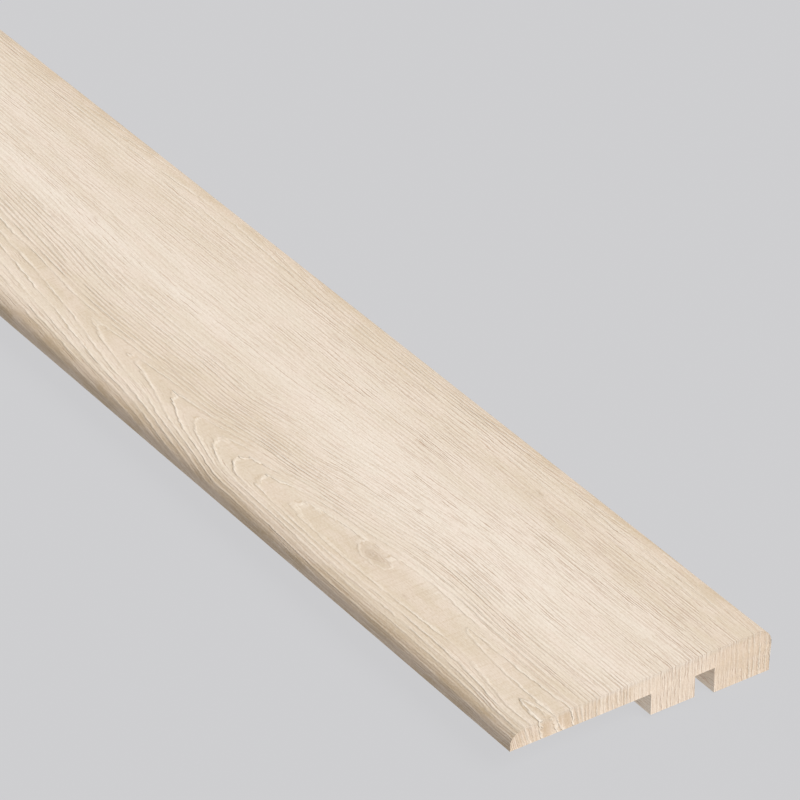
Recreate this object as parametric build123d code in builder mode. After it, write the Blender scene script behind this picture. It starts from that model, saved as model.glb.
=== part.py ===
"""Floor end cap trim: one length of moulding that finishes the open edge of a floor.

The lip covers the cut edge of the floor, the leg and the block stand on the subfloor, and the
groove between them takes the fixing track. The frame has +X across the trim from the lip's nose
to the block, +Y along its length and +Z up, with the origin under the middle of the trim.
"""

import os
from math import cos, radians, tan

from build123d import *

# Length of one piece of stock
length = 900.0

# Across the section, from the nose of the lip to the outer side of the block
lip_reach = 24.0
leg_width = 7.6
groove_width = 3.4
block_width = 10.0

# Down the section, from the top face to the feet
lip_thickness = 3.2
block_height = 7.4
leg_relief = 0.6

# The lip's nose stands upright below and eases over to the top in a quarter of an ellipse
nose_upright = 1.1
nose_ease_across = 3.6

# The block's outer edge is rounded on top, and its side leans in from there to the foot
outer_edge_radius = 2.6
outer_side_lean = 3.5

# Places on the section that follow from the sizes above
width = lip_reach + leg_width + groove_width + block_width
nose_x = -width / 2
leg_x = nose_x + lip_reach
groove_x = leg_x + leg_width
block_x = groove_x + groove_width
outer_x = block_x + block_width
lip_underside_z = block_height - lip_thickness
nose_top_z = lip_underside_z + nose_upright
nose_ease_down = lip_thickness - nose_upright
round_x = outer_x - outer_edge_radius
round_z = block_height - outer_edge_radius
lean = radians(outer_side_lean)
outer_foot_x = round_x + outer_edge_radius / cos(lean) - round_z * tan(lean)

with BuildPart() as end_cap:
    # The section faces -Y at the far end, with its own x across the trim and its own y upwards
    with BuildSketch(Plane.XZ.offset(-length / 2)):
        with BuildLine():
            # The nose, from its sharp lower edge up and over to the flat top
            nose_side = Line((nose_x, lip_underside_z), (nose_x, nose_top_z))
            nose_ease = EllipticalCenterArc(
                center=(nose_x + nose_ease_across, nose_top_z),
                x_radius=nose_ease_across,
                y_radius=nose_ease_down,
                start_angle=90,
                arc_size=90,
            )
            # The flat top, then the rounded outer edge, which runs on into the leaning side
            outer_round = CenterArc(
                center=(round_x, round_z),
                radius=outer_edge_radius,
                start_angle=90,
                arc_size=-(90 + outer_side_lean),
            )
            Line(nose_ease @ 0, outer_round @ 0)
            # The underside, from the block's foot across the groove and the leg back to the nose
            Polyline(
                outer_round @ 1,
                (outer_foot_x, 0),
                (block_x, 0),
                (block_x, lip_underside_z),
                (groove_x, lip_underside_z),
                (groove_x, leg_relief),
                (leg_x, leg_relief),
                (leg_x, lip_underside_z),
                nose_side @ 0,
            )
        make_face()
    extrude(amount=length)

end_cap.part.label = "end_cap"

os.makedirs("parts", exist_ok=True)
export_step(end_cap.part, "parts/end_cap.step")
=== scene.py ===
import math
from collections import namedtuple

import bpy
import numpy as np
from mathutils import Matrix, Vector


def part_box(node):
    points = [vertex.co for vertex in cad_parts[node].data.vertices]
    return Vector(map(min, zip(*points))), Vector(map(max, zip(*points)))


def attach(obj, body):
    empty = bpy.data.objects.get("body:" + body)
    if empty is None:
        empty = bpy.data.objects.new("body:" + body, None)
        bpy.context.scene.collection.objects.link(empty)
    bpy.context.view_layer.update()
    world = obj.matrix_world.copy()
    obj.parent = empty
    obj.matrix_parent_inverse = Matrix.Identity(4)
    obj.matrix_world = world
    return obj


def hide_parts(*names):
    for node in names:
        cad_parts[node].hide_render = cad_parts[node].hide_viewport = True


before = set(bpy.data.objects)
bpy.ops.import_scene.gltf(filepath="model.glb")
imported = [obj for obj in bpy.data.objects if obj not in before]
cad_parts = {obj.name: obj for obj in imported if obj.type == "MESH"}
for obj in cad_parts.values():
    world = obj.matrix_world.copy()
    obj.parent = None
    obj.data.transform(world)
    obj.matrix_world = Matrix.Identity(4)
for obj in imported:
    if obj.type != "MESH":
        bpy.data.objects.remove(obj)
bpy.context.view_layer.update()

# The trim
# One length of pale, unfinished softwood, run through a moulder to the same section from end to end:
# a thin lip with an eased nose, a leg and a rounded outer block, over an open rebate and a track
# groove. Its top is brushed, which leaves the hard late wood of each growth ring as a fine ridge.

# Sizes of the section, placed by the solid's box
mm = 0.001
low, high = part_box("end_cap")
length = high.y - low.y
nose_x = low.x
outer_x = high.x
top_z = high.z

lip_reach = 24.0 * mm
leg_width = 7.6 * mm
groove_width = 3.4 * mm
lip_thickness = 3.2 * mm
leg_relief = 0.6 * mm
nose_upright = 1.1 * mm
nose_ease_across = 3.6 * mm
nose_ease_down = lip_thickness - nose_upright
outer_edge_radius = 2.6 * mm
outer_side_lean = math.radians(3.5)

leg_x = nose_x + lip_reach
groove_x = leg_x + leg_width
block_x = groove_x + groove_width
lip_z = top_z - lip_thickness
leg_z = low.z + leg_relief
ease_x = nose_x + nose_ease_across
round_x = outer_x - outer_edge_radius
round_z = top_z - outer_edge_radius

# How finely each stretch of the outline is divided; the figured third of the top is the finest
upper_rows = 6
leg_rows = 4
block_rows = 5
ease_steps = 16
round_steps = 12
figured_x = nose_x + 15.0 * mm
figured_step = 0.15 * mm
plain_step = 0.4 * mm


def straight(start, end, steps):
    """Points at equal steps from start towards end, with the end itself left to the next stretch."""
    share = np.arange(steps)[:, None] / steps
    return np.asarray(start) + share * (np.asarray(end) - np.asarray(start))


def rounded(centre, radii, first, last, steps):
    """Points centre + radii * (cos, sin) of angles at equal steps from first towards last."""
    angle = first + (last - first) * np.arange(steps) / steps
    return np.asarray(centre) + np.stack([radii[0] * np.cos(angle), radii[1] * np.sin(angle)], 1)


def top_stretch(start_x, end_x, step):
    """A straight stretch of the flat top in steps of about the given size."""
    return straight((start_x, top_z), (end_x, top_z), max(1, round((end_x - start_x) / step)))


def side_at(height):
    """The point of the leaning outer side at a height, on the line that is tangent to the round."""
    reach = outer_edge_radius / math.cos(outer_side_lean)
    return (round_x + reach - (round_z - height) * math.tan(outer_side_lean), height)


nose_foot = (nose_x, lip_z)
nose_head = (nose_x, lip_z + nose_upright)
side_head = (
    round_x + outer_edge_radius * math.cos(outer_side_lean),
    round_z - outer_edge_radius * math.sin(outer_side_lean),
)
outer_foot = side_at(low.z)

# The outline runs up the nose, over the top, down the outer side and back along the underside
stretches = {
    "nose": straight(nose_foot, nose_head, upper_rows),
    "ease": rounded((ease_x, nose_head[1]), (nose_ease_across, nose_ease_down),
                    math.pi, math.pi / 2, ease_steps),
    "figured_top": top_stretch(ease_x, figured_x, figured_step),
    "lip_top": top_stretch(figured_x, leg_x, plain_step),
    "leg_top": top_stretch(leg_x, groove_x, plain_step),
    "groove_top": top_stretch(groove_x, block_x, plain_step),
    "block_top": top_stretch(block_x, round_x, plain_step),
    "round": rounded((round_x, round_z), (outer_edge_radius, outer_edge_radius),
                     math.pi / 2, -outer_side_lean, round_steps),
    "upper_side": straight(side_head, side_at(lip_z), upper_rows),
    "lower_side": straight(side_at(lip_z), outer_foot, block_rows),
    "block_foot": straight(outer_foot, (block_x, low.z), 1),
    "block_wall": straight((block_x, low.z), (block_x, lip_z), block_rows),
    "groove_roof": straight((block_x, lip_z), (groove_x, lip_z), 1),
    "groove_wall": straight((groove_x, lip_z), (groove_x, leg_z), leg_rows),
    "leg_foot": straight((groove_x, leg_z), (leg_x, leg_z), 1),
    "leg_wall": straight((leg_x, leg_z), (leg_x, lip_z), leg_rows),
    "lip_underside": straight((leg_x, lip_z), nose_foot, 1),
}
counts = np.array([len(points) for points in stretches.values()])
starts = dict(zip(stretches, np.concatenate([[0], np.cumsum(counts)[:-1]])))
outline = np.concatenate(list(stretches.values()))
columns = len(outline)


def outward(loop):
    """Unit normals of a closed loop: the sum of the two neighbouring edges' normals, made unit long."""
    edge = np.roll(loop, -1, 0) - loop
    normal = np.stack([-edge[:, 1], edge[:, 0]], 1)
    normal /= np.linalg.norm(normal, axis=1, keepdims=True)
    both = normal + np.roll(normal, 1, 0)
    return both / np.linalg.norm(both, axis=1, keepdims=True)


outline_normal = outward(outline)

# The grain: the board is plain-sawn, so its growth rings make nested arches along the nose third of
# the top and straight lines over the rest. It is drawn on the unrolled surface, in millimetres across
# from the nose and along from the near end, and so wraps the nose and turns down the ends as one sheet
edge_length = np.linalg.norm(np.roll(outline, -1, 0) - outline, axis=1)
unrolled = np.concatenate([[0.0], np.cumsum(edge_length)])
unrolled += nose_ease_across - unrolled[starts["figured_top"]]
whole_length = length / mm

# Stations of the figure: place along, the ring met on the crown of the arches, where the crown's flat
# begins and ends across, and the pitch of the rings between that flat and the nose
Figure = namedtuple("Figure", "crown begins ends pitch")
stations = np.array([
    (-40.0, 2.5, 3.7, 11.2, 0.9),
    (0.0, 2.5, 3.7, 11.2, 0.9),
    (5.5, 2.5, 3.7, 11.2, 0.9),
    (12.0, 2.5, 4.95, 11.2, 1.3),
    (20.0, 2.5, 6.05, 11.2, 1.7),
    (30.0, 2.5, 5.55, 11.7, 1.35),
    (40.0, 2.5, 5.0, 11.75, 1.1),
    (50.0, 2.55, 4.85, 10.6, 0.95),
    (64.0, 3.0, 5.0, 9.1, 0.85),
    (71.8, 4.0, 4.4, 8.6, 0.85),
    (78.0, 5.0, 4.2, 8.8, 1.0),
    (84.3, 6.0, 5.2, 8.7, 1.35),
    (91.8, 7.0, 6.3, 8.5, 1.6),
    (100.0, 8.0, 7.2, 9.1, 1.7),
    (112.0, 9.0, 7.5, 9.5, 1.8),
    (124.7, 10.0, 8.2, 10.0, 1.9),
    (150.0, 10.5, 10.8, 12.0, 1.9),
    (180.0, 10.6, 13.0, 14.2, 1.9),
    (220.0, 10.7, 13.0, 14.4, 1.8),
    (280.0, 10.4, 9.0, 12.0, 1.3),
    (420.0, 3.5, 6.0, 13.0, 0.9),
    (560.0, 7.5, 7.0, 11.0, 1.0),
    (640.0, 11.0, 7.0, 9.5, 1.5),
    (770.0, 7.0, 6.0, 11.0, 1.2),
    (900.0, 3.5, 6.0, 13.0, 0.9),
    (980.0, 2.5, 6.0, 13.0, 0.9),
])


def figure_at(along):
    """The figure at places along the trim: a cubic Hermite curve through each column of the stations,
    with the central differences of its values as slopes."""
    places, values = stations[:, 0], stations[:, 1:]
    slopes = np.gradient(values, places, axis=0)
    before = np.clip(np.searchsorted(places, along) - 1, 0, len(places) - 2)
    after = before + 1
    span = (places[after] - places[before])[..., None]
    f = (along - places[before])[..., None] / span
    leaving = values[before] * (1 + 2 * f) + slopes[before] * span * f
    reaching = values[after] * (3 - 2 * f) + slopes[after] * span * (f - 1)
    return Figure(*np.moveaxis(leaving * (1 - f) ** 2 + reaching * f * f, -1, 0))


def eased(value, start, end):
    """0 before start and 1 after end, with 3f^2 - 2f^3 between them."""
    f = np.clip((value - start) / (end - start), 0, 1)
    return f * f * (3 - 2 * f)


def soft_rise(distance, turn):
    """turn * log(1 + e^(distance / turn)): nothing before zero, and the distance itself well past it."""
    return turn * np.logaddexp(0, distance / turn)


def drift(across, along, amount, cell_across, cell_along, seed):
    """Random values from -amount to amount on a lattice of cells, blended by 3f^2 - 2f^3 in each cell."""
    size = 256
    draws = np.random.default_rng(seed).uniform(-1.0, 1.0, (size, size))
    column, f = np.divmod(across / cell_across, 1.0)
    row, g = np.divmod(along / cell_along, 1.0)
    f = f * f * (3 - 2 * f)
    g = g * g * (3 - 2 * g)
    column = column.astype(int) % size
    row = row.astype(int) % size
    next_column = (column + 1) % size
    next_row = (row + 1) % size
    near = draws[column, row] * (1 - f) + draws[next_column, row] * f
    far = draws[column, next_row] * (1 - f) + draws[next_column, next_row] * f
    return amount * (near * (1 - g) + far * g)


# Tongues of early wood that open towards the near end: the share of a ring that each one takes from
# the count, its tip along, its middle across, how far that middle bows, and its half width
tongues = (
    (0.9, 24.0, 8.8, 0.5, 1.6),
    (0.75, 5.9, 5.7, 0.0, 1.25),
)
tongue_bow_along = 11.0
tongue_bow_length = 12.0
tongue_opening = 0.4
tongue_closing = 0.3
tongue_edge = 0.4
depth_limit = 40.0


def inside_tongue(across, along, tip, middle, bow, half_width):
    """1 inside a tongue and 0 outside it. Its half width goes with the distance behind the tip to the
    power of its opening; its edge is the soft step 1 / (1 + e^-d) in the depth d inside it, counted in
    edge widths and limited both ways."""
    bowed = middle + bow * ((along - tongue_bow_along) / tongue_bow_length) ** 2
    behind = np.maximum(tip - along, 0) / tip
    inside = half_width * behind ** tongue_opening - np.abs(across - bowed)
    inside -= tongue_closing * np.maximum(along - tip, 0)
    depth = np.clip(inside / tongue_edge, -depth_limit, depth_limit)
    return 1 / (1 + np.exp(-depth))


knot_along = 45.7
knot_across = 8.7
knot_half_length = 3.4
knot_half_width = 1.5
knot_rings = 1.1
knot_waver = (0.5, 0.8, 1.2, 14)


def round_knot(across, along, reach):
    """1 on the pin knot by the near end, falling off as e^(-d^2) in the distance d from it, counted in
    the knot's half length and half width times a reach."""
    lengthwise = (along - knot_along) / (knot_half_length * reach)
    crosswise = (across - knot_across) / (knot_half_width * reach)
    return np.exp(-lengthwise ** 2 - crosswise ** 2)


# Rings lie closer by the nose: how many to a millimetre there and how far in from the nose, past the
# first arches, and how much both change before them
close_rings = 1.1
close_rings_before = 0.2
close_reach = 3.4
close_reach_before = -0.8
close_turn = 0.8
first_arches = (55.0, 80.0)
nose_turn = 0.5
inner_pitch = 0.75
inner_turn = 0.6
flat_dish = 0.04
least_half_flat = 0.5


def arch_count(across, along, figure):
    """Rings counted in the arches: the ring on the crown, plus one for each pitch past either side of
    its flat, which is dished a little. Tongues take from the count, and the pin knot adds to it."""
    before_arches = 1 - eased(along, *first_arches)
    closer = np.maximum(close_rings + close_rings_before * before_arches - 1 / figure.pitch, 0)
    close_from = close_reach + close_reach_before * before_arches
    to_nose = soft_rise(figure.begins - across, nose_turn) / figure.pitch
    to_nose += closer * soft_rise(close_from - across, close_turn)
    to_inside = soft_rise(across - figure.ends, inner_turn) / inner_pitch
    half_flat = np.maximum((figure.ends - figure.begins) / 2, least_half_flat)
    dish = flat_dish * np.minimum(np.abs(across - figure.begins - half_flat), half_flat)
    count = figure.crown + to_nose + to_inside + dish
    for share, *shape in tongues:
        count -= share * inside_tongue(across, along, *shape)
    knot_edge = 1 + drift(across, along, *knot_waver)
    return count + knot_rings * round_knot(across, along, 1.0) * knot_edge


straight_ring = 2.5
straight_across = 11.0
straight_pitch = 0.66
shift_fades = (12.0, 36.0)
edge_across = 38.0
edge_pitch = 1.0
edge_turn = 2.0


def straight_count(across, figure):
    """Rings counted in the straight grain: one for each straight pitch, drawn out to the edge's pitch by
    the outer edge. Beside the arches the count is shifted to meet theirs where the crown's flat ends."""
    shift = figure.crown - straight_ring + (straight_across - figure.ends) / straight_pitch
    count = straight_ring + shift * (1 - eased(across, *shift_fades))
    count += (across - straight_across) / straight_pitch
    return count - (1 / straight_pitch - 1 / edge_pitch) * soft_rise(across - edge_across, edge_turn)


# The rings' wavering: its size in rings, its cells across and along, and its seed
slow_waver = (0.28, 4.0, 40.0, 11)
fine_waver = (0.1, 1.4, 9.0, 12)
tip_waver = (0.15, 0.9, 1.5, 13)
straight_waver = (0.35, 1.7, 55.0, 15)
flat_steadiness = 0.75
flat_opens = (-0.5, 0.8)
flat_closes = (-1.5, 0.5)
ragged_tips = (58.0, 68.0)


def wavering(across, along, figure, past_arches):
    """Slow and fine wander of the rings, steadier on the crown's flat, plus a long wander in the straight
    grain and ragged tips on the arches."""
    on_flat = eased(across - figure.begins, *flat_opens)
    on_flat *= 1 - eased(across - figure.ends, *flat_closes)
    wander = drift(across, along, *slow_waver) + drift(across, along, *fine_waver)
    wander *= 1 - flat_steadiness * on_flat
    wander += drift(across, along, *straight_waver) * past_arches
    return wander + drift(across, along, *tip_waver) * on_flat * eased(along, *ragged_tips)


arches_fade = (0.5, 4.5)
bow_rings = 2.4
bow_across = 45.0
bow_half_width = 3.5
bow_along = 52.0
bow_length = 118.0


def ring_number(across, along):
    """Growth rings counted at a point: the arches' count, which goes over to the straight grain's past
    the crown's flat, plus the sine bow of the outer edge's figure, plus wavering. Each whole number is
    the line of a ring."""
    figure = figure_at(along)
    past_arches = eased(across - figure.ends, *arches_fade)
    count = arch_count(across, along, figure) * (1 - past_arches)
    count += straight_count(across, figure) * past_arches
    by_edge = np.exp(-((across - bow_across) / bow_half_width) ** 2)
    on_length = np.clip(along, 0.0, whole_length)
    count += bow_rings * by_edge * np.sin(2 * np.pi * (on_length - bow_along) / bow_length)
    return count + wavering(across, along, figure, past_arches)


def ring_slope(across, along):
    """Rings per millimetre, the length of the ring number's slope from small steps both ways, and the
    share of that slope that points across the trim, away from the nose."""
    step = 0.06
    least_steepness = 0.3
    here = ring_number(across, along)
    slope_across = (ring_number(across + step, along) - here) / step
    slope_along = (ring_number(across, along + step) - here) / step
    steepness = np.maximum(np.hypot(slope_across, slope_along), least_steepness)
    return steepness, slope_across / steepness


turn_down = 4.0


def past_end(along):
    """0 on the trim's length, rising to 1 where the grain has turned down either end."""
    return eased(np.maximum(-along, along - whole_length), 0.0, turn_down)


def stepped(value, changes):
    """Sum of soft steps in a value: each change is an amount, and the start and end of its step."""
    return sum(amount * eased(value, start, end) for amount, start, end in changes)


# How bold the rings' lines are: the boldest, the steps down from it past the crown's flat and up by
# the outer edge, and how they change on the arches' limbs, the nose, the ends and the knot
boldest = 1.15
bold_past_flat = ((-0.15, -7.0, -3.0), (-0.4, -1.0, 3.0), (-0.36, 4.0, 14.0))
bold_by_edge = ((0.4, 37.0, 41.0),)
bold_arches = (55.0, 75.0)
limb_gain = 0.25
limb_side = (-2.0, 2.0)
nose_share = 0.3
nose_clear_from = -0.5
nose_clear_to = 4.0
nose_clear_widens = 1.2
end_gain = 0.75
end_gain_side = (-4.0, 0.0)
end_loss = 0.35
knot_loss = 0.65
knot_loss_reach = 1.3
ring_shares = 128
ring_share_seed = 21
least_share = 0.6
usual_strength = 0.9
strength_limit = 1.5
line_fading = (0.35, 2.5, 16.0, 22)


def line_strength(across, along, ring):
    """How bold each ring's late wood is: strong in the arches, weak on the nose and in the straight
    grain, with a share of its own for each ring and slow fading along it."""
    shares = np.random.default_rng(ring_share_seed).uniform(least_share, 1.0, ring_shares)
    own = shares[np.rint(ring).astype(int) % ring_shares]
    past_flat = across - figure_at(along).ends
    in_arches = eased(along, *bold_arches)
    off_nose = eased(across, nose_clear_from, nose_clear_to + nose_clear_widens * in_arches)
    end_change = end_gain * eased(past_flat, *end_gain_side) - end_loss
    bold = boldest + stepped(past_flat, bold_past_flat) + stepped(across, bold_by_edge)
    bold *= nose_share + (1 - nose_share) * off_nose
    bold *= 1 + limb_gain * in_arches * eased(past_flat, *limb_side)
    bold *= 1 + end_change * past_end(along)
    bold *= 1 - knot_loss * round_knot(across, along, knot_loss_reach)
    fading = usual_strength + drift(across, along, *line_fading)
    return np.clip(own * bold * fading, 0, strength_limit)


# Where the board is tan: inside a border by the arches and by the outer edge, with painted shade that
# deepens it on the nose and on the outer round
tan_border = 13.0
tan_border_widens = 5.0
tan_spread = 5.5
tan_spread_widens = 4.0
tan_widens = (60.0, 120.0)
tan_border_waver = (2.0, 30.0, 45.0, 31)
tan_waver = (0.22, 3.0, 28.0, 32)
nose_shade_depth = 1.15
nose_shade_turns = (-1.0, 3.4)
tan_and_painted_shade_by_edge = ((0.88, 20.0, 42.0), (0.7, 40.5, 44.0))
side_turns = (48.0, 54.0)
end_tan = 0.95
end_pale = 0.2
end_pale_across = 28.0
end_pale_sides = (4.0, 9.0)


def tan_and_painted_shade(across, along):
    """Colour of the board from 0, cream, to 1, tan, and 2, the nose's painted shade, as a sum of soft
    steps across it; on the outer round painted shade adds to its own tan. On the ends it is palest round
    the leg."""
    wider = eased(along, *tan_widens)
    border = tan_border + tan_border_widens * wider + drift(across, along, *tan_border_waver)
    spread = tan_spread + tan_spread_widens * wider
    by_arches = 1 - eased(across, border - spread, border + spread)
    # Painted shade: the nose, which faces away from the light, is taken past tan towards brown
    nose_painted_shade = nose_shade_depth * (1 - eased(across, *nose_shade_turns))
    # By the outer edge the tan is the board's own, and on the round it is deepened by painted shade
    by_edge = stepped(across, tan_and_painted_shade_by_edge) * (1 - eased(across, *side_turns))
    off_leg = eased(np.abs(across - end_pale_across), *end_pale_sides)
    on_ends = past_end(along) * (end_tan * off_leg - end_pale)
    return by_arches + nose_painted_shade + by_edge + on_ends + drift(across, along, *tan_waver)


# Pin knots and specks: along, across, half length, half width and depth of colour
specks = (
    (45.9, 8.6, 1.5, 0.6, 0.5),
    (46.5, 8.6, 4.5, 1.5, 0.3),
    (35.0, 6.5, 0.55, 0.25, 0.7),
    (51.6, 20.5, 0.25, 0.5, 0.8),
    (45.6, 37.4, 0.8, 0.2, 0.9),
    (148.0, 24.6, 0.4, 0.25, 0.7),
    (332.0, 9.5, 1.6, 0.7, 0.7),
    (498.0, 27.0, 0.8, 0.3, 0.7),
    (655.0, 14.0, 1.5, 0.6, 0.7),
    (812.0, 33.0, 0.8, 0.3, 0.7),
)


def speck_tone(across, along):
    """Sum of soft oval spots, each depth * e^(-(along / half length)^2 - (across / half width)^2)."""
    total = np.zeros_like(across)
    for place, side, half_length, half_width, depth in specks:
        oval = ((along - place) / half_length) ** 2 + ((across - side) / half_width) ** 2
        total += depth * np.exp(-oval)
    return total


ridge_height = 0.05 * mm
ridge_half_width = 0.15
ridge_widening = 0.08
ridges_end = (13.0, 15.0)
crown_ridge = 0.25
limb_slant = (0.3, 0.8)
end_wear = 0.7
brush_depth = 0.01 * mm
brush_waver = (1.0, 1.2, 6.0, 41)


def relief(across, along):
    """Depth below the full section: none on a bold ring's ridge, the ridge height between the ridges,
    plus the brush's light waves. A ridge is e^(-(d / w)^2) in the distance d from the ring's line, with
    a half width w that widens where the rings lie apart."""
    ring = ring_number(across, along)
    steepness, slant = ring_slope(across, along)
    distance = (ring - np.rint(ring)) / steepness
    ridge = np.exp(-(distance / (ridge_half_width + ridge_widening / steepness)) ** 2)
    ridge *= 1 - eased(across, *ridges_end)
    ridge *= crown_ridge + (1 - crown_ridge) * eased(np.abs(slant), *limb_slant)
    ridge *= 1 - end_wear * past_end(along)
    standing = np.minimum(ridge * line_strength(across, along, ring), 1)
    brushed = 1 + drift(across, along, *brush_waver)
    return ridge_height * (1 - standing) + brush_depth * brushed


# The mesh: the section is carried along the length on rows that are close together over the arches of
# the near end. Each stretch of rows has a start, an end and a step, and the last one has a row count
row_stretches = ((0.0, 60.0, 0.75), (60.0, 126.0, 0.45), (126.0, 214.0, 1.3))
plain_start = 214.0
plain_rows = 150
row_lists = [np.arange(*stretch) for stretch in row_stretches]
row_lists.append(np.linspace(plain_start, whole_length, plain_rows))
row_along = np.concatenate(row_lists) * mm
rows = len(row_along)

# The relief fades out at the nose's lower edge and at the block's foot
nose_fade = 0.4 * mm
foot_fade = 0.6 * mm
foot_column = starts["block_foot"]
foot_place = unrolled[foot_column]
across_grid, along_grid = np.meshgrid(unrolled / mm, row_along / mm)
worn_depth = np.where(np.arange(columns + 1) <= foot_column, relief(across_grid, along_grid), 0.0)
edge_fade = eased(unrolled, unrolled[0], unrolled[0] + nose_fade)
edge_fade *= 1 - eased(unrolled, foot_place - foot_fade, foot_place)
inset = worn_depth * edge_fade

closed_outline = np.concatenate([outline, outline[:1]])
closed_normal = np.concatenate([outline_normal, outline_normal[:1]])
body = np.empty((rows, columns + 1, 3))
body[..., 0] = closed_outline[:, 0] - inset * closed_normal[:, 0]
body[..., 1] = low.y + row_along[:, None]
body[..., 2] = closed_outline[:, 1] - inset * closed_normal[:, 1]
body_id = np.arange(body.shape[0] * body.shape[1]).reshape(body.shape[:2])


def quads(ids):
    """One face for each cell of a grid of vertex numbers, turned from the first axis to the second."""
    return np.stack([ids[:-1, :-1], ids[1:, :-1], ids[1:, 1:], ids[:-1, 1:]], -1).reshape(-1, 4)


# The four flat undersides meet the end faces in many points, so their first and last cells are left
# open here and are closed with one strip each
joined_stretches = ("block_foot", "groove_roof", "leg_foot", "lip_underside")
joined_columns = np.array([starts[name] for name in joined_stretches])
open_cells = np.zeros((columns, rows - 1), bool)
open_cells[joined_columns[:, None], [0, rows - 2]] = True
sheet_points = [body.reshape(-1, 3)]
sheet_across = [across_grid.ravel()]
sheet_along = [along_grid.ravel()]
sheet_quads = [quads(body_id.T)[~open_cells.ravel()]]
sheet_strips = []


def lay(points, across, along):
    """Adds points with their place in the grain to the sheets and returns their vertex numbers."""
    first = sum(len(sheet) for sheet in sheet_points)
    sheet_points.append(points.reshape(-1, 3))
    sheet_across.append(np.broadcast_to(across, points.shape[:-1]).ravel())
    sheet_along.append(np.broadcast_to(along, points.shape[:-1]).ravel())
    return first + np.arange(points.size // 3).reshape(points.shape[:-1])


def chain(start, end, place):
    """Points from start to end, spaced as the rising numbers in place are."""
    share = ((place - place[0]) / (place[-1] - place[0]))[:, None]
    line = start * (1 - share) + end * share
    line[0] = start
    line[-1] = end
    return line


def ruled(bottom, top, left, right, steps):
    """A grid on straight lines from a bottom chain to a top one, its two sides on the given chains."""
    share = np.arange(steps + 1)[None, :, None] / steps
    grid = bottom[:, None] * (1 - share) + top[:, None] * share
    grid[0] = left
    grid[-1] = right
    grid[:, -1] = top
    return grid


# On an end the grain is drawn out down the face, and by the nose it leans
end_stretch = 3.5
end_lean = 0.3
end_lean_fades = (2.0, 14.0)


def close_end(row, next_row, end_along, inward):
    """Closes one end with three ruled grids: the whole width down to the lip's level, then the leg and
    the block down to their feet. The grain runs on down the end at a fixed stretch. Then a strip joins
    each flat underside to the foot of the grid above it."""
    end_row = body[row]

    def at(name):
        """The end's point where a stretch of the outline starts."""
        return end_row[starts[name]]

    def side(first_name, last_name):
        """The end's points from where one stretch starts to where a later one does."""
        return end_row[starts[first_name]:starts[last_name] + 1]

    def over(first_name, last_name):
        """Places across from where one stretch starts to where a later one does."""
        return unrolled[starts[first_name]:starts[last_name] + 1] / mm

    top = side("ease", "upper_side")
    nose_level = chain(at("nose"), at("lip_underside"), over("ease", "leg_top"))
    leg_level = chain(at("lip_underside"), at("groove_wall"), over("leg_top", "groove_top"))
    groove_level = chain(at("groove_wall"), at("groove_roof"), over("groove_top", "block_top"))
    block_level = chain(at("groove_roof"), at("lower_side"), over("block_top", "upper_side"))
    level = np.concatenate([nose_level[:-1], leg_level[:-1], groove_level[:-1], block_level])
    leg_sole = chain(at("leg_wall"), at("leg_foot"), over("leg_top", "groove_top"))
    block_sole = chain(at("block_wall"), at("block_foot"), over("block_top", "upper_side"))
    grids = (
        ruled(level, top, side("nose", "ease"),
              side("upper_side", "lower_side")[::-1], upper_rows),
        ruled(leg_sole, leg_level, side("leg_wall", "lip_underside"),
              side("groove_wall", "leg_foot")[::-1], leg_rows),
        ruled(block_sole, block_level, side("block_wall", "groove_roof"),
              side("lower_side", "block_foot")[::-1], block_rows),
    )
    rising_x = np.maximum.accumulate(top[:, 0])
    inner = (slice(1, -1), slice(1, -1))
    for grid in grids:
        depth = (top_z - grid[..., 2]) / mm
        place = np.interp(grid[..., 0], rising_x, over("ease", "upper_side"))
        across = place - end_lean * depth * (1 - eased(place, *end_lean_fades))
        along = end_along - inward * end_stretch * depth
        grid[inner + (1,)] += inward * relief(across[inner], along[inner])
        cells = quads(lay(grid, across, along))
        sheet_quads.append(cells if inward > 0 else cells[:, ::-1])
    soles = (block_sole, groove_level, leg_sole, nose_level)
    for column, sole in zip(joined_columns, soles):
        share = (sole[::-1, 0] - sole[-1, 0]) / (sole[0, 0] - sole[-1, 0])
        across = (unrolled[column] + share * edge_length[column]) / mm
        edge = lay(sole[::-1].copy(), across, end_along).tolist()
        back = [int(body_id[next_row, column + 1]), int(body_id[next_row, column])]
        sheet_strips.append(edge + back if inward > 0 else (edge + back)[::-1])


close_end(0, 1, 0.0, 1)
close_end(rows - 1, rows - 2, whole_length, -1)

# The sheets share the points of their edges, which are exact copies, so those are merged
all_points = np.concatenate(sheet_points)
all_across = np.concatenate(sheet_across)
all_along = np.concatenate(sheet_along)
all_quads = np.concatenate(sheet_quads)
corners = np.concatenate([all_quads.ravel()] + [np.array(strip) for strip in sheet_strips])
shared_points, shared_id = np.unique(all_points, axis=0, return_inverse=True)
shared_id = shared_id.reshape(-1)
face_lists = shared_id[all_quads].tolist() + [shared_id[strip].tolist() for strip in sheet_strips]

crease_angle = math.radians(40)
trim_mesh = bpy.data.meshes.new("end_cap_trim")
trim_mesh.from_pydata(shared_points, [], face_lists)
trim_mesh.polygons.foreach_set("use_smooth", np.ones(len(face_lists), bool))
trim_mesh.set_sharp_from_angle(angle=crease_angle)

corner_across = all_across[corners]
corner_along = all_along[corners]
corner_place = np.stack([corner_across, corner_along], 1)
grain_map = trim_mesh.uv_layers.new(name="grain")
grain_map.uv.foreach_set("vector", corner_place.astype(np.float32).ravel())


def carry(name, values):
    """Stores one value for each corner of the mesh under a name that the wood's colours read."""
    layer = trim_mesh.attributes.new(name, "FLOAT", "CORNER")
    layer.data.foreach_set("value", values.astype(np.float32))


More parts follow.
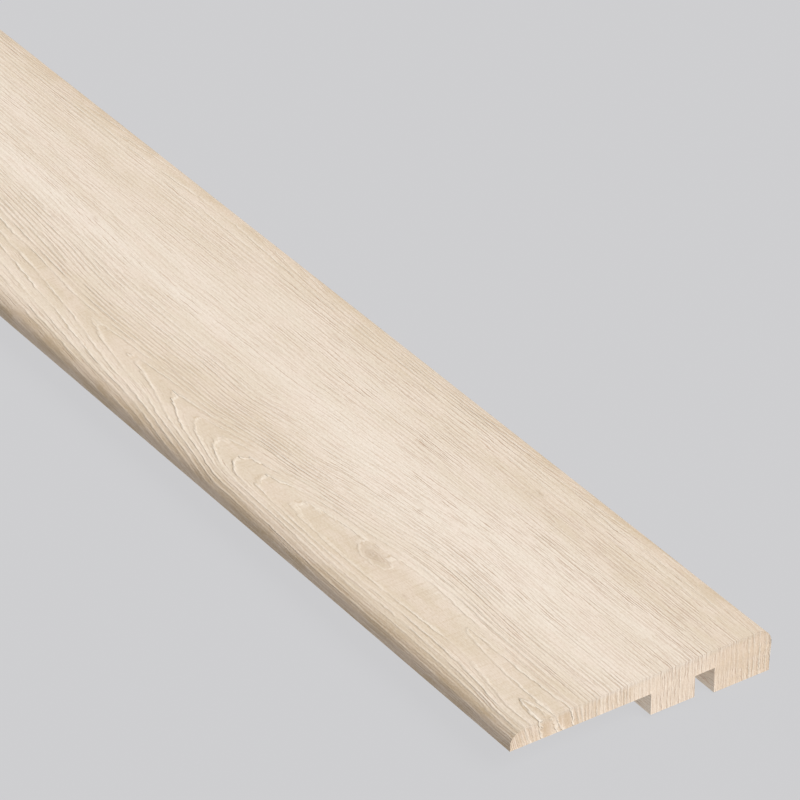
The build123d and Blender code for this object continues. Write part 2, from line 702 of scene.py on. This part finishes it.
corner_ring = ring_number(corner_across, corner_along)
corner_steepness, corner_slant = ring_slope(corner_across, corner_along)
carry("ring", corner_ring)
carry("steepness", corner_steepness)
carry("slant", corner_slant)
carry("line", line_strength(corner_across, corner_along, corner_ring))
carry("tan", tan_and_painted_shade(corner_across, corner_along))
carry("speck", speck_tone(corner_across, corner_along))
trim_mesh.validate()

trim = bpy.data.objects.new("end_cap_trim", trim_mesh)
bpy.context.scene.collection.objects.link(trim)
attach(trim, "root")
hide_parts("end_cap")

# The wood: cream straight grain, tan arches along the nose, fine dark pores in streaks and a dry, low
# sheen, with painted shade, shadows and highlights on the nose, the ridges and the walls. All of it reads
# the grain's map and the values that the mesh carries
wood = bpy.data.materials.new("pale_wood")
trim_mesh.materials.append(wood)


def nodes_of(material):
    """Clears a material's nodes and returns a function that puts new ones into it."""
    material.use_nodes = True
    tree = material.node_tree
    tree.nodes.clear()

    def put_node(kind, inputs=None, **settings):
        """Adds one node with its settings, each input set to a value or joined to another's output."""
        node = tree.nodes.new(kind)
        for name, value in settings.items():
            setattr(node, name, value)
        for name, value in (inputs or {}).items():
            if isinstance(value, bpy.types.NodeSocket):
                tree.links.new(value, node.inputs[name])
            else:
                node.inputs[name].default_value = value
        return node

    return put_node


put = nodes_of(wood)


def work(operation, *values):
    """The result of one sum on sockets or numbers."""
    return put("ShaderNodeMath", dict(enumerate(values)), operation=operation).outputs[0]


def carried(name):
    """A value stored on the mesh's corners."""
    return put("ShaderNodeAttribute", attribute_name=name).outputs["Fac"]


def ramp(value, start, end, first=0.0, last=1.0):
    """A smooth step from first to last as the value goes from start to end."""
    ends = {"Value": value, "From Min": start, "From Max": end, "To Min": first, "To Max": last}
    return put("ShaderNodeMapRange", ends, interpolation_type="SMOOTHSTEP").outputs[0]


def blend_colour(amount, under, over):
    """The under colour taken towards the over colour by an amount."""
    return put("ShaderNodeMix", {0: amount, 6: under, 7: over}, data_type="RGBA").outputs[2]


def seen(red, green, blue):
    """A colour as it is seen on the wood, from 0 to 255, as light: ((c + 0.055) / 1.055)^2.4."""
    return tuple(((c / 255 + 0.055) / 1.055) ** 2.4 for c in (red, green, blue)) + (1.0,)


def noise(place, detail=2.0, roughness=0.5):
    """Noise from 0 to 1 with features of about one unit of the place that it is read at."""
    inputs = {"Vector": place, "Scale": 1.0, "Detail": detail, "Roughness": roughness}
    return put("ShaderNodeTexNoise", inputs, noise_dimensions="2D").outputs["Fac"]


grain_place = put("ShaderNodeUVMap", uv_map="grain").outputs["UV"]
across, along = put("ShaderNodeSeparateXYZ", {0: grain_place}).outputs[:2]


def streaks(across_size, along_size, detail=2.0, roughness=0.5):
    """Noise drawn out along the grain, with features of about these sizes in millimetres."""
    scale = (1 / across_size, 1 / along_size, 1)
    stretched = put("ShaderNodeMapping", {"Vector": grain_place, "Scale": scale}).outputs[0]
    return noise(stretched, detail, roughness)


cream = seen(239, 226, 211)
tan = seen(223, 206, 184)
pink = seen(239, 221, 207)
# The pale wood and the late wood's colours serve also for painted highlights, painted light and painted
# shade
pale_wood_and_painted_highlight = seen(248, 236, 220)
late_wood_and_painted_shade = seen(198, 173, 141)
pore_brown = seen(196, 168, 146)
knot_brown = seen(150, 118, 86)
end_warm = seen(228, 205, 182)

# The rings' lines wander by a part of a ring in short, fine waves
line_wander = 0.34
ring = work("MULTIPLY_ADD", streaks(0.5, 2.6), line_wander, carried("ring"))
steepness = carried("steepness")
slant = carried("slant")
on_limb = work("ABSOLUTE", slant)
# The tan tone, which also carries the painted shade of the nose and the outer round
tone_and_painted_shade = carried("tan")


def lines(per_ring, shift, dash_length):
    """Distance in millimetres from the nearest of so many lines to a ring, and a random strength that
    each line has of its own and that comes and goes along it."""
    far_apart = 5.17
    count = work("MULTIPLY_ADD", ring, per_ring, shift)
    number = work("ROUND", count)
    lines_per_mm = work("MULTIPLY", steepness, per_ring)
    distance = work("DIVIDE", work("SUBTRACT", count, number), lines_per_mm)
    own_row = work("MULTIPLY", number, far_apart)
    place = put("ShaderNodeCombineXYZ", {"X": own_row, "Y": work("DIVIDE", along, dash_length)})
    return distance, noise(place.outputs[0], 1.0)


# Each ring has a ridge, boldest on the limbs of the arches, painted pale as a highlight, with a painted
# # shadow on its nose side
line_half_width = 0.13
line_widening = 0.1
ridge_shadow_across = 0.24
ring_distance, ring_dashes = lines(per_ring=1.0, shift=-0.17, dash_length=8.0)
line = work("MULTIPLY", carried("line"), ramp(ring_dashes, 0.3, 0.6, 0.3, 1.1))
line = work("MULTIPLY", line, ramp(on_limb, 0.3, 0.9, 0.35, 1.0))
ridge_width = work("ADD", work("DIVIDE", line_widening, steepness), line_half_width)
from_line = work("DIVIDE", work("ABSOLUTE", ring_distance), ridge_width)
ridge_and_painted_highlight = work("MULTIPLY", ramp(from_line, 0.15, 1.0, 1.0, 0.0), line)
from_ridge_shadow = work("ABSOLUTE", work("MULTIPLY_ADD", ring_distance, slant, ridge_shadow_across))
ridge_painted_shadow = work("MULTIPLY", ramp(from_ridge_shadow, 0.03, 0.2, 1.0, 0.0), line)

# On the crown of an arch, where the line runs across the grain, it is a broken band of dark late wood
# # with a painted shadow on its far side, beside a painted highlight on its near side
ring_part = work("MULTIPLY", ring_distance, steepness)
broken = ramp(streaks(1.6, 3.0), 0.35, 0.6, 0.1, 0.6)
on_crown = work("MULTIPLY", ramp(on_limb, 0.3, 0.8, 1.0, 0.0), broken)
crown_band_and_painted_shadow = work("MULTIPLY", ramp(ring_part, 0.0, 0.03), ramp(ring_part, 0.05, 0.15, 1.0, 0.0))
crown_painted_highlight = work("MULTIPLY", ramp(ring_part, -0.16, -0.06), ramp(ring_part, -0.03, 0.01, 1.0, 0.0))

# Sets of fine pores: how many lines to a ring, their shift in rings, the length of their dashes and
# their half width in millimetres, the noise at which a dash begins and is full, and its depth
pore_sets = (
    (1.0, 0.27, 7.0, 0.11, 0.35, 0.6, 0.6),
    (1.9, 0.1, 4.0, 0.08, 0.4, 0.62, 0.6),
    (0.5, 0.4, 12.0, 0.12, 0.52, 0.7, 0.75),
)


def pore_lines(per_ring, shift, dash_length, half_width, from_dash, to_dash, depth):
    """Fine pore lines that are broken into dashes: the dark of the pores, within a half width of the
    line, and a painted highlight on the wood that stands up on either side of them."""
    core_solid = 0.25 * half_width
    bank_place = 1.8 * half_width
    bank_solid = 0.2 * half_width
    distance, dashes = lines(per_ring, shift, dash_length)
    away = work("ABSOLUTE", distance)
    dash = ramp(dashes, from_dash, to_dash, 0.0, depth)
    core = ramp(away, core_solid, half_width, 1.0, 0.0)
    from_bank = work("ABSOLUTE", work("SUBTRACT", away, bank_place))
    bank_highlight = ramp(from_bank, bank_solid, half_width, 1.0, 0.0)
    return work("MULTIPLY", core, dash), work("MULTIPLY", bank_highlight, dash)


# Pores come in patches, keep out of the arches' flats, and are boldest over the outer near part
near_outer_gain = 0.35
near_outer = work("MULTIPLY", ramp(across, 24.0, 30.0), ramp(along, 60.0, 130.0, 1.0, 0.0))
pore_patches = ramp(streaks(5.0, 20.0), 0.32, 0.6, 0.5, 1.0)
pore_room = work("MULTIPLY", pore_patches, ramp(steepness, 0.3, 0.7))
pore_room = work("MULTIPLY", pore_room, work("MULTIPLY_ADD", near_outer, near_outer_gain, 1.0))
pore_share = 0.0
bank_highlight_share = 0.0
for pore_set in pore_sets:
    pores, bank_highlights = pore_lines(*pore_set)
    pore_share = work("MULTIPLY_ADD", pores, pore_room, pore_share)
    bank_highlight_share = work("MULTIPLY_ADD", bank_highlights, pore_room, bank_highlight_share)

# Fine fibres and grit all over, a slow mottle of the ground, and cross flecks on the arches' flats
fibres = streaks(0.13, 4.0, roughness=0.6)
grit = streaks(0.22, 0.6, roughness=0.6)
mottle = ramp(streaks(7.0, 60.0), 0.3, 0.7, -0.25, 0.25)
flecks = ramp(streaks(7.0, 0.45, detail=1.0), 0.46, 0.74)
fleck_share = work("MULTIPLY", flecks, ramp(steepness, 0.3, 0.5, 0.2, 0.0))

# The ends are warmer, and on the lip's end the rings show as soft bands
half_trim = 0.5 * whole_length
from_middle = work("ABSOLUTE", work("SUBTRACT", along, half_trim))
on_end = ramp(from_middle, half_trim, half_trim + turn_down)
on_lip_end = work("MULTIPLY", on_end, ramp(across, 18.0, 26.0, 1.0, 0.1))
end_bands = streaks(0.9, 30.0, detail=1.0)
dark_bands = work("MULTIPLY", on_lip_end, ramp(end_bands, 0.46, 0.66))
pale_bands = work("MULTIPLY", on_lip_end, ramp(end_bands, 0.5, 0.32))

# Colours laid over the ground one after another: where, how strongly and which
coats = (
    # Painted shade: where the tone passes 1, on the nose and the outer round, the wood is taken towards
    # brown
    (ramp(tone_and_painted_shade, 1.0, 2.0), 0.85, late_wood_and_painted_shade),
    (ramp(streaks(3.0, 9.0), 0.4, 0.65), 0.35, pink),
    (on_end, 0.6, end_warm),
    (dark_bands, 0.35, late_wood_and_painted_shade),
    (pale_bands, 0.35, pale_wood_and_painted_highlight),
    # Painted light: the lower outer side, its foot, the walls and the undersides are made paler, to stand
    # for light that reaches into the rebate and the groove
    (ramp(across, 50.0, 54.0), 0.8, pale_wood_and_painted_highlight),
    # Painted shadow and painted highlight on the crowns of the arches
    (crown_band_and_painted_shadow, on_crown, late_wood_and_painted_shade),
    (crown_painted_highlight, on_crown, pale_wood_and_painted_highlight),
    # Painted shadow on the nose side of each ridge, and a painted highlight on the ridge
    (ridge_painted_shadow, 0.52, late_wood_and_painted_shade),
    (ridge_and_painted_highlight, 0.75, pale_wood_and_painted_highlight),
    # Painted highlight on the wood beside the pores
    (bank_highlight_share, 0.4, pale_wood_and_painted_highlight),
    (pore_share, 0.76, pore_brown),
    (fleck_share, 1.0, late_wood_and_painted_shade),
    (ramp(fibres, 0.4, 0.8), 0.22, late_wood_and_painted_shade),
    (ramp(fibres, 0.5, 0.2), 0.22, pale_wood_and_painted_highlight),
    (ramp(grit, 0.5, 0.75), 0.22, late_wood_and_painted_shade),
    (ramp(grit, 0.5, 0.3), 0.15, pale_wood_and_painted_highlight),
    (carried("speck"), 0.45, knot_brown),
)
ground = blend_colour(work("ADD", tone_and_painted_shade, mottle), cream, tan)
for place, strength, colour in coats:
    ground = blend_colour(work("MULTIPLY", place, strength), ground, colour)

# The surface stands up on the ridges and is sunk in the pores and the grit between the fibres
ridge_bump = 0.11 * mm
pore_depth = 0.3
grit_depth = 0.35
raised = work("MULTIPLY", ridge_and_painted_highlight, ramp(on_limb, 0.3, 0.8, 0.2, 1.0))
surface = work("MULTIPLY_ADD", pore_share, -pore_depth, raised)
surface = work("MULTIPLY_ADD", grit, -grit_depth, surface)
bump = put("ShaderNodeBump", {"Height": surface, "Distance": ridge_bump, "Strength": 1.0})
finish = put("ShaderNodeBsdfPrincipled", {
    "Base Color": ground,
    "Roughness": ramp(fibres, 0.3, 0.7, 0.56, 0.68),
    "Normal": bump.outputs[0],
    "Specular IOR Level": 0.3,
})
put("ShaderNodeOutputMaterial", {0: finish.outputs[0]})

# The floor
# A plain pale floor that the trim lies on unheld, as wide as the eye can see and lit so evenly that
# only a faint shadow shows. It is clear from beneath, so the trim's underside can be looked at.

# The floor's middle lies beyond the far end, so that the line between its two triangles misses the trim
floor_half = 60.0
floor_shift = 20.0
floor_gap = 0.1 * mm
floor_sides = ((-1, -1), (1, -1), (1, 1), (-1, 1))
floor_z = low.z - floor_gap
floor_corners = [(floor_half * x, floor_shift + floor_half * y, floor_z) for x, y in floor_sides]
floor_mesh = bpy.data.meshes.new("floor")
floor_mesh.from_pydata(floor_corners, [], [(0, 1, 2, 3)])
floor = bpy.data.objects.new("floor", floor_mesh)
bpy.context.scene.collection.objects.link(floor)

paint = bpy.data.materials.new("floor_paint")
put_paint = nodes_of(paint)
floor_mesh.materials.append(paint)
floor_light = seen(206, 206, 208)
glow_share = 0.95
matt_light = tuple((1 - glow_share) * c for c in floor_light[:3]) + (1.0,)
glow = put_paint("ShaderNodeEmission", {"Color": floor_light, "Strength": glow_share}).outputs[0]
matt = put_paint("ShaderNodeBsdfDiffuse", {"Color": matt_light}).outputs[0]
painted = put_paint("ShaderNodeAddShader", {0: glow, 1: matt}).outputs[0]
clear = put_paint("ShaderNodeBsdfTransparent").outputs[0]
from_beneath = put_paint("ShaderNodeNewGeometry").outputs["Backfacing"]
either = put_paint("ShaderNodeMixShader", {0: from_beneath, 1: painted, 2: clear}).outputs[0]
put_paint("ShaderNodeOutputMaterial", {0: either})

# The light
# A broad softbox that hangs in front of the near end, above it and to its right, and an even glow
# all round from the pale walls of the room.

softbox_heading = Vector((-0.2, 0.55, -0.7))
softbox = bpy.data.lights.new("softbox", "SUN")
softbox.angle = math.radians(44)
softbox.energy = 3.23
softbox_object = bpy.data.objects.new("softbox", softbox)
softbox_object.rotation_euler = softbox_heading.to_track_quat("-Z", "Y").to_euler()
bpy.context.scene.collection.objects.link(softbox_object)

room = bpy.data.worlds.new("room")
room.use_nodes = True
room_glow = room.node_tree.nodes["Background"]
room_glow.inputs["Color"].default_value = (0.98, 0.99, 1.0, 1.0)
room_glow.inputs["Strength"].default_value = 0.28
bpy.context.scene.world = room
bpy.context.scene.view_settings.view_transform = "Standard"

# The camera
# A long lens, three quarters of a metre in front of the nose's near corner and above it, that looks
# along the trim and down on it.

eye_from_nose_corner = Vector((-359.57, -502.34, 452.92)) * mm
bearing = math.radians(34.2018)
downward = math.radians(32.8549)
lens = bpy.data.cameras.new("lens")
lens.lens = 252.12
lens.sensor_width = 36.0
camera = bpy.data.objects.new("camera", lens)
camera.location = Vector((nose_x, low.y, top_z)) + eye_from_nose_corner
sight = Vector((
    math.sin(bearing) * math.cos(downward),
    math.cos(bearing) * math.cos(downward),
    -math.sin(downward),
))
camera.rotation_euler = sight.to_track_quat("-Z", "Y").to_euler()
bpy.context.scene.collection.objects.link(camera)
bpy.context.scene.camera = camera
